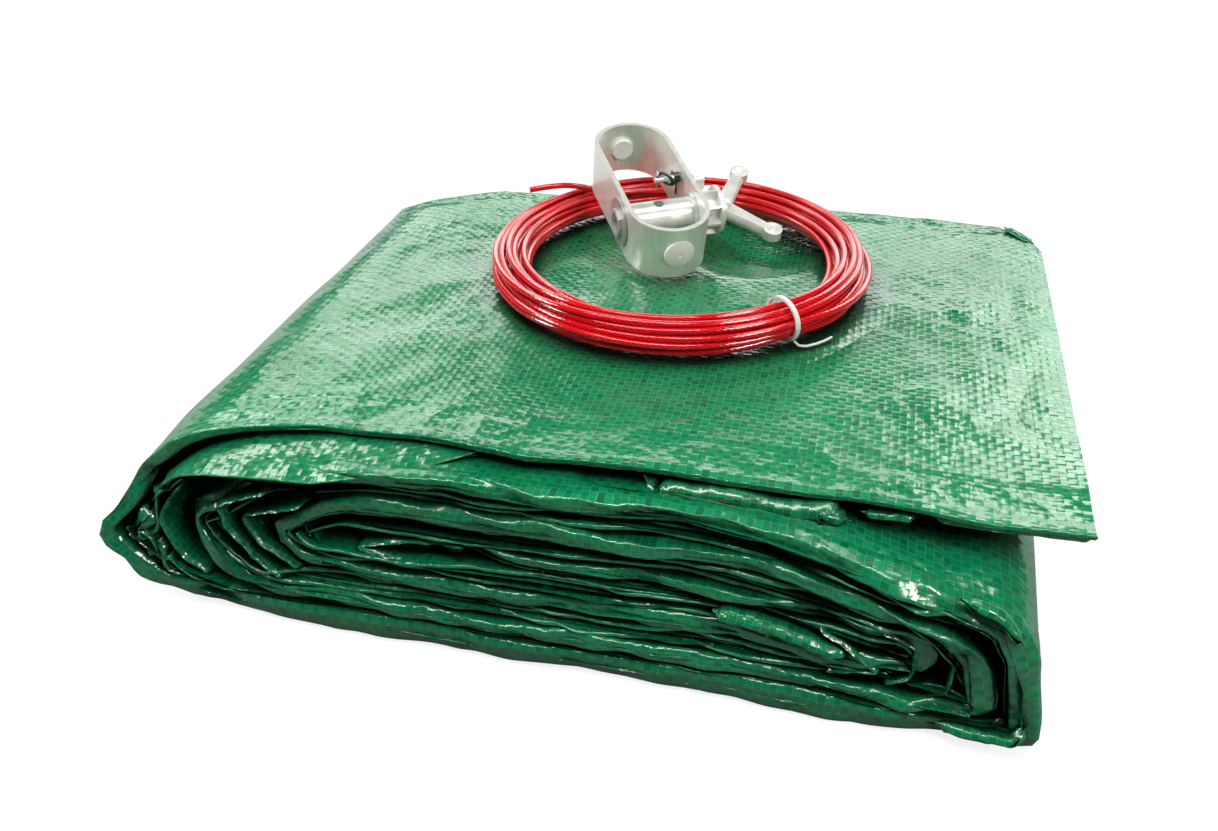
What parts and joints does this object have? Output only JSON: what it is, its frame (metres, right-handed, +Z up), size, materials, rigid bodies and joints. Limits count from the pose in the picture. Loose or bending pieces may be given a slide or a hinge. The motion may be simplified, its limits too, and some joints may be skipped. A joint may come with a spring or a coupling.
{
  "type": "pool winter cover kit",
  "caption": "Folded and rolled green pool winter cover with a coil of red vinyl-coated cable and a ratchet cable tensioner resting on top.",
  "frame": {"origin": "middle of the pack's footprint on the surface it lies on", "axes": "+Z up, +X along the front of the pack towards its right-hand folds, +Y towards its back"},
  "size_m": [0.404, 0.31, 0.1403],
  "materials": {
    "woven_cover": "glossy laminated weave",
    "red_vinyl": "gloss",
    "white_tie": "satin",
    "satin_aluminium": "satin",
    "cast_aluminium": "as cast, matt",
    "zinc_steel": "zinc plated",
    "bright_steel": "bright",
    "dark_steel": "dark oiled",
    "white_nylon": "matt"
  },
  "bodies": {
    "cover": {"cover_roll": "woven_cover", "cover_flap": "woven_cover"},
    "cable": {"cable_coil": "red_vinyl", "cable_tail": "red_vinyl", "coil_tie": "white_tie", "tie_tail": "white_tie"},
    "tensioner": {"tensioner_frame": "satin_aluminium", "front_bush": "white_nylon", "rear_bush": "white_nylon", "pawl_spring": "dark_steel"},
    "spool": {"spool_tube": "zinc_steel", "end_washer": "zinc_steel", "spool_collar": "zinc_steel", "wing_handle": "cast_aluminium"},
    "pawl_set": {"pawl": "cast_aluminium", "pawl_pin": "zinc_steel", "pawl_washer": "dark_steel", "split_pin": "bright_steel"}
  },
  "joints": [
    {"name": "cable_lift", "type": "slide", "parent": "cover", "child": "cable", "axis": [0, 0, 1], "range_m": [0, 0.1]},
    {"name": "tensioner_lift", "type": "slide", "parent": "cable", "child": "tensioner", "axis": [0, 0, 1], "range_m": [0, 0.15]},
    {"name": "spool_turn", "type": "hinge", "parent": "tensioner", "child": "spool", "pos_m": [0.00272, 0.06573, 0.11006], "axis": [0.8554, 0.518, 0], "continuous": true},
    {"name": "pawl_lift", "type": "hinge", "parent": "tensioner", "child": "pawl_set", "pos_m": [0.01155, 0.09362, 0.12265], "axis": [-0.8554, -0.518, 0], "range_deg": [0, 28], "stiffness_Nm_per_rad": 0.01, "springref_deg": -17.19}
  ]
}
